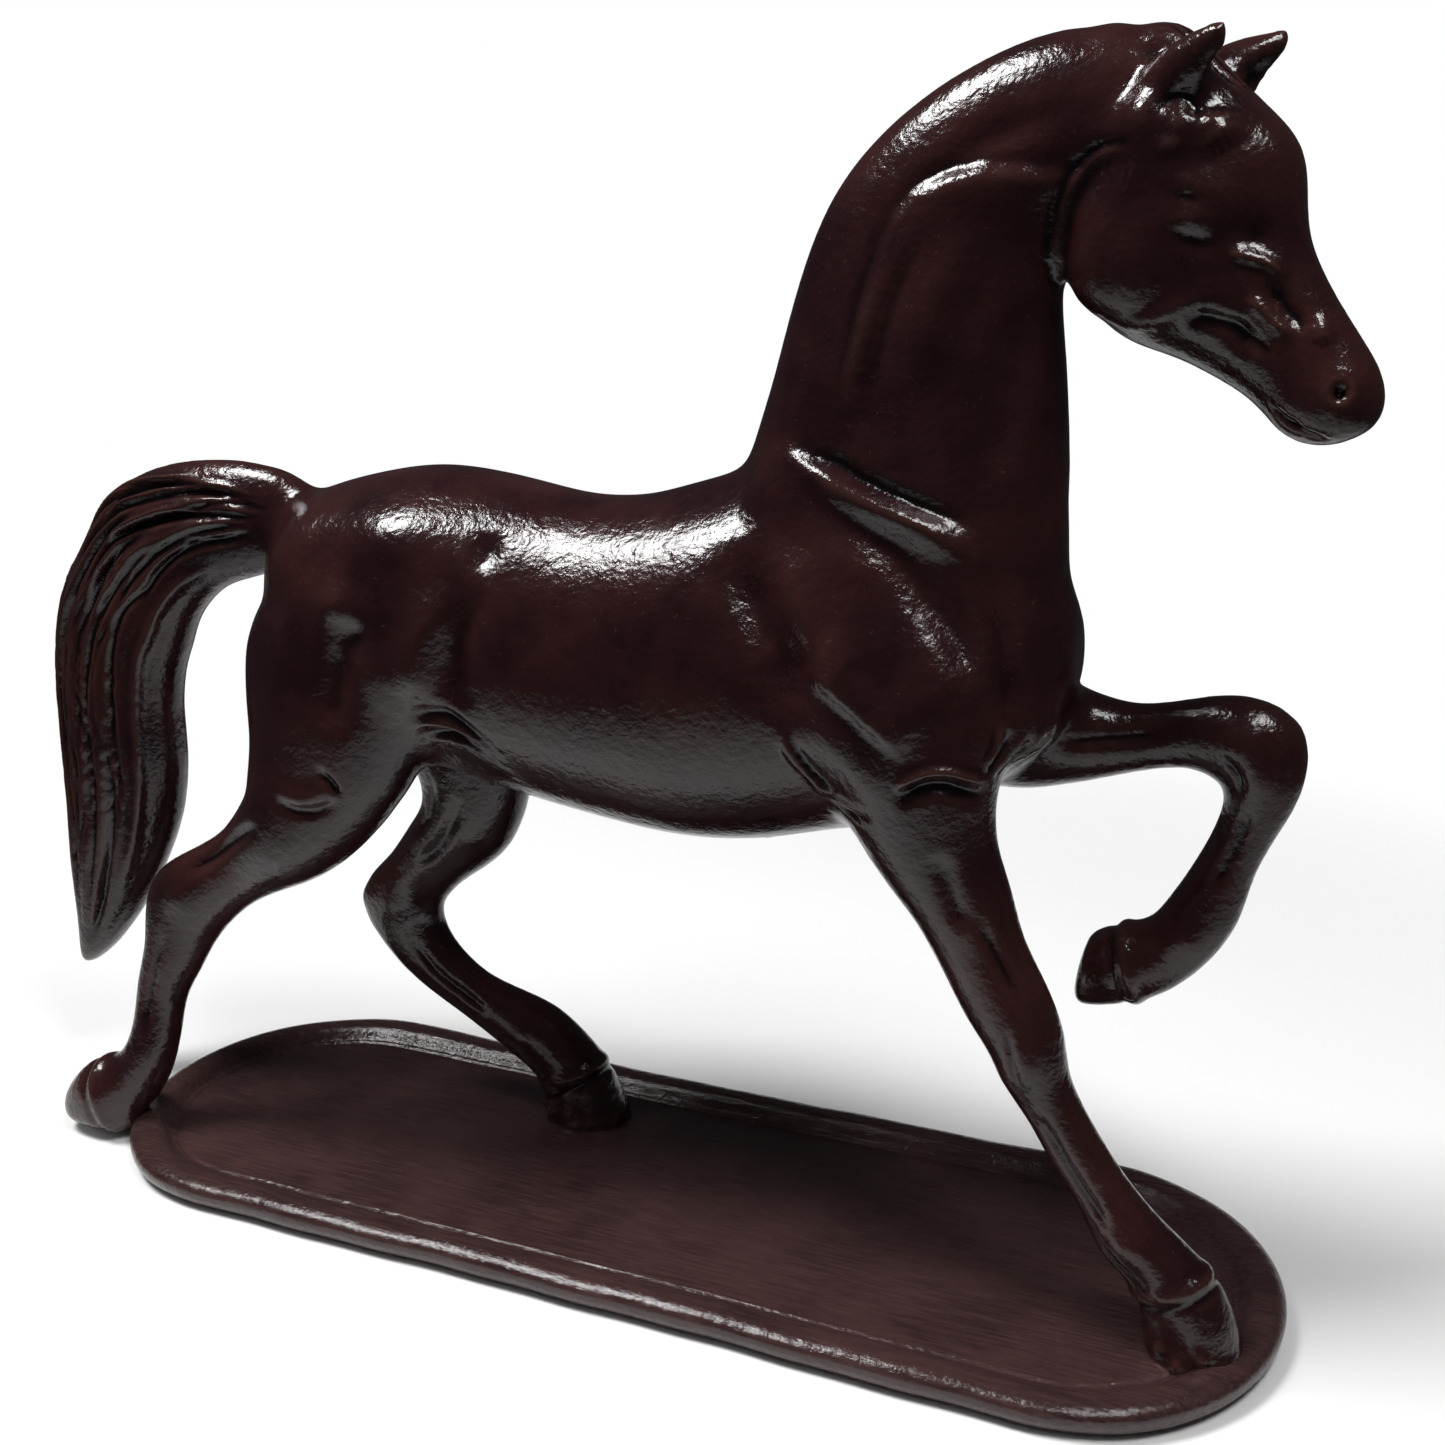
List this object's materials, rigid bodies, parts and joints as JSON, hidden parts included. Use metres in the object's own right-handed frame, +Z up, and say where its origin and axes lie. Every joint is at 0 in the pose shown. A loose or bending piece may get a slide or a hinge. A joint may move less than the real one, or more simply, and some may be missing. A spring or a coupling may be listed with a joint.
{
  "type": "horse statuette",
  "caption": "A trotting horse with an arched neck, one foreleg raised and a high flowing tail, on a long round-ended tray base with a raised rim.",
  "frame": {"origin": "middle of the underside of the felt pad beneath the base, which is the lowest face", "axes": "+X is the way the horse faces, along the base; +Y is the horse's left side; +Z is up"},
  "size_m": [0.3576, 0.111, 0.2885],
  "materials": {
    "bronze": "dark reddish-brown patina on cast bronze, waxed to a semi-gloss, a little redder on worn edges",
    "base_bronze": "the same dark brown patina, with fine streaks along the sunken floor and bright worn rim edges",
    "raw_bronze": "unpatinated bronze, sawn and filed",
    "steel": "plain steel pins and screws",
    "felt": "dark green felt"
  },
  "bodies": {
    "root": {"base_casting": "base_bronze", "base_pad": "felt", "torso_casting": "bronze", "head_casting": "bronze", "foreleg_right_casting": "bronze", "foreleg_left_casting": "bronze", "hindleg_right_casting": "bronze", "hindleg_left_casting": "bronze", "tail_casting": "bronze", "neck_pins": "steel", "foreleg_dowels": "steel", "hindleg_dowels": "steel", "tail_dowel": "steel", "hoof_screws": "steel", "hoof_washers": "steel", "toe_stud": "steel", "core_plugs": "raw_bronze"}
  },
  "joints": []
}
